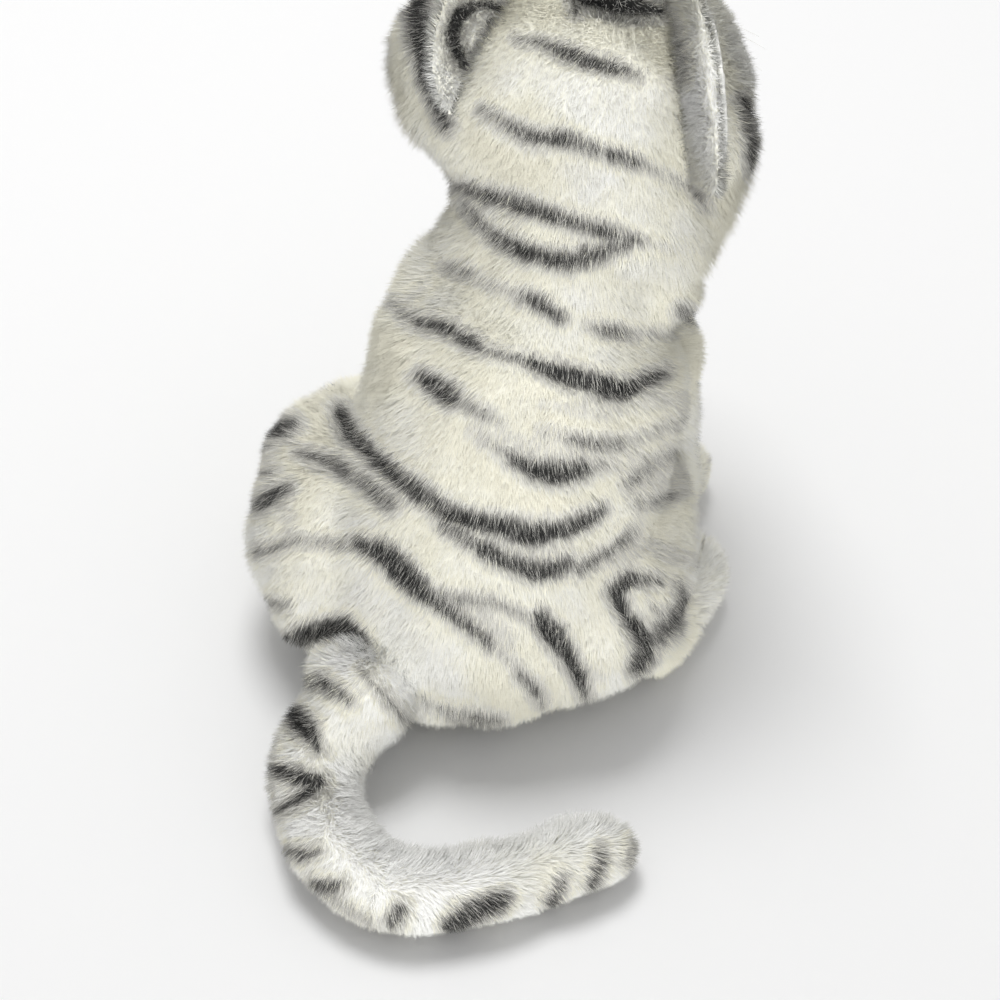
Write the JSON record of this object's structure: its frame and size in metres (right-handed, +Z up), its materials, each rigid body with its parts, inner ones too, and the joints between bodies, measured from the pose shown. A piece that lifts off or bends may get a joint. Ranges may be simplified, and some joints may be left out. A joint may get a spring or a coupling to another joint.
{
  "type": "stuffed toy tiger",
  "caption": "Sitting white tiger cub soft toy with dark stripes, curled tail, turning head, soft ears and liftable front legs, filled with fibre and a weighted rump",
  "frame": {"origin": "bottom centre of the part's box, on the ground the toy sits on", "axes": "+Z up, the toy looks towards -Y, its own left side is +X and its tail lies towards +Y"},
  "size_m": [0.2092, 0.3526, 0.3384],
  "materials": {
    "white_pile": "short dense pile, cream white with dark stripes",
    "ear_lining": "smooth short nap",
    "pouch_cloth": "plain woven cotton",
    "eye_plastic": "polished",
    "nose_plastic": "satin",
    "washer_plastic": "moulded"
  },
  "bodies": {
    "body": {"torso": "white_pile", "pellet_pouch": "pouch_cloth", "thigh_left": "white_pile", "thigh_right": "white_pile", "hind_foot_left": "white_pile", "hind_foot_right": "white_pile"},
    "head": {"head": "white_pile", "muzzle": "white_pile", "chin": "white_pile", "nose": "nose_plastic", "nose_washer": "washer_plastic", "eye_left": "eye_plastic", "eye_right": "eye_plastic", "eye_washer_left": "washer_plastic", "eye_washer_right": "washer_plastic"},
    "ear_left": {"ear_back_left": "white_pile", "ear_lining_left": "ear_lining"},
    "ear_right": {"ear_back_right": "white_pile", "ear_lining_right": "ear_lining"},
    "front_leg_left": {"front_leg_left": "white_pile", "front_paw_left": "white_pile"},
    "front_leg_right": {"front_leg_right": "white_pile", "front_paw_right": "white_pile"},
    "tail_base": {"tail_base": "white_pile"},
    "tail_middle": {"tail_middle": "white_pile"},
    "tail_tip": {"tail_tip": "white_pile"}
  },
  "joints": [
    {"name": "head_turn", "type": "hinge", "parent": "body", "child": "head", "pos_m": [-0.01767, -0.04948, 0.198], "axis": [-0.1008, -0.4742, 0.8746], "range_deg": [-30, 30], "stiffness_Nm_per_rad": 0.5},
    {"name": "ear_left_flop", "type": "hinge", "parent": "head", "child": "ear_left", "pos_m": [0.02322, -0.05869, 0.30043], "axis": [0.512, 0.5328, -0.6737], "range_deg": [-20, 20], "stiffness_Nm_per_rad": 0.08},
    {"name": "ear_right_flop", "type": "hinge", "parent": "head", "child": "ear_right", "pos_m": [-0.05489, -0.05179, 0.28946], "axis": [0.2086, -0.5965, 0.775], "range_deg": [-20, 20], "stiffness_Nm_per_rad": 0.08},
    {"name": "front_leg_left_lift", "type": "hinge", "parent": "body", "child": "front_leg_left", "pos_m": [0.02033, -0.05948, 0.138], "axis": [-1, 0, 0], "range_deg": [0, 30], "stiffness_Nm_per_rad": 0.3},
    {"name": "front_leg_right_lift", "type": "hinge", "parent": "body", "child": "front_leg_right", "pos_m": [-0.05067, -0.05948, 0.138], "axis": [-1, 0, 0], "range_deg": [0, 30], "stiffness_Nm_per_rad": 0.3},
    {"name": "tail_base_swing", "type": "hinge", "parent": "body", "child": "tail_base", "pos_m": [0.03033, 0.07952, 0.042], "axis": [0, 0, 1], "range_deg": [-15, 10], "stiffness_Nm_per_rad": 0.2},
    {"name": "tail_middle_bend", "type": "hinge", "parent": "tail_base", "child": "tail_middle", "pos_m": [0.02134, 0.1461, 0.01762], "axis": [0, 0, 1], "range_deg": [-15, 8], "stiffness_Nm_per_rad": 0.12},
    {"name": "tail_tip_bend", "type": "hinge", "parent": "tail_middle", "child": "tail_tip", "pos_m": [-0.03968, 0.1468, 0.01624], "axis": [0, 0, 1], "range_deg": [-15, 8], "stiffness_Nm_per_rad": 0.08}
  ]
}
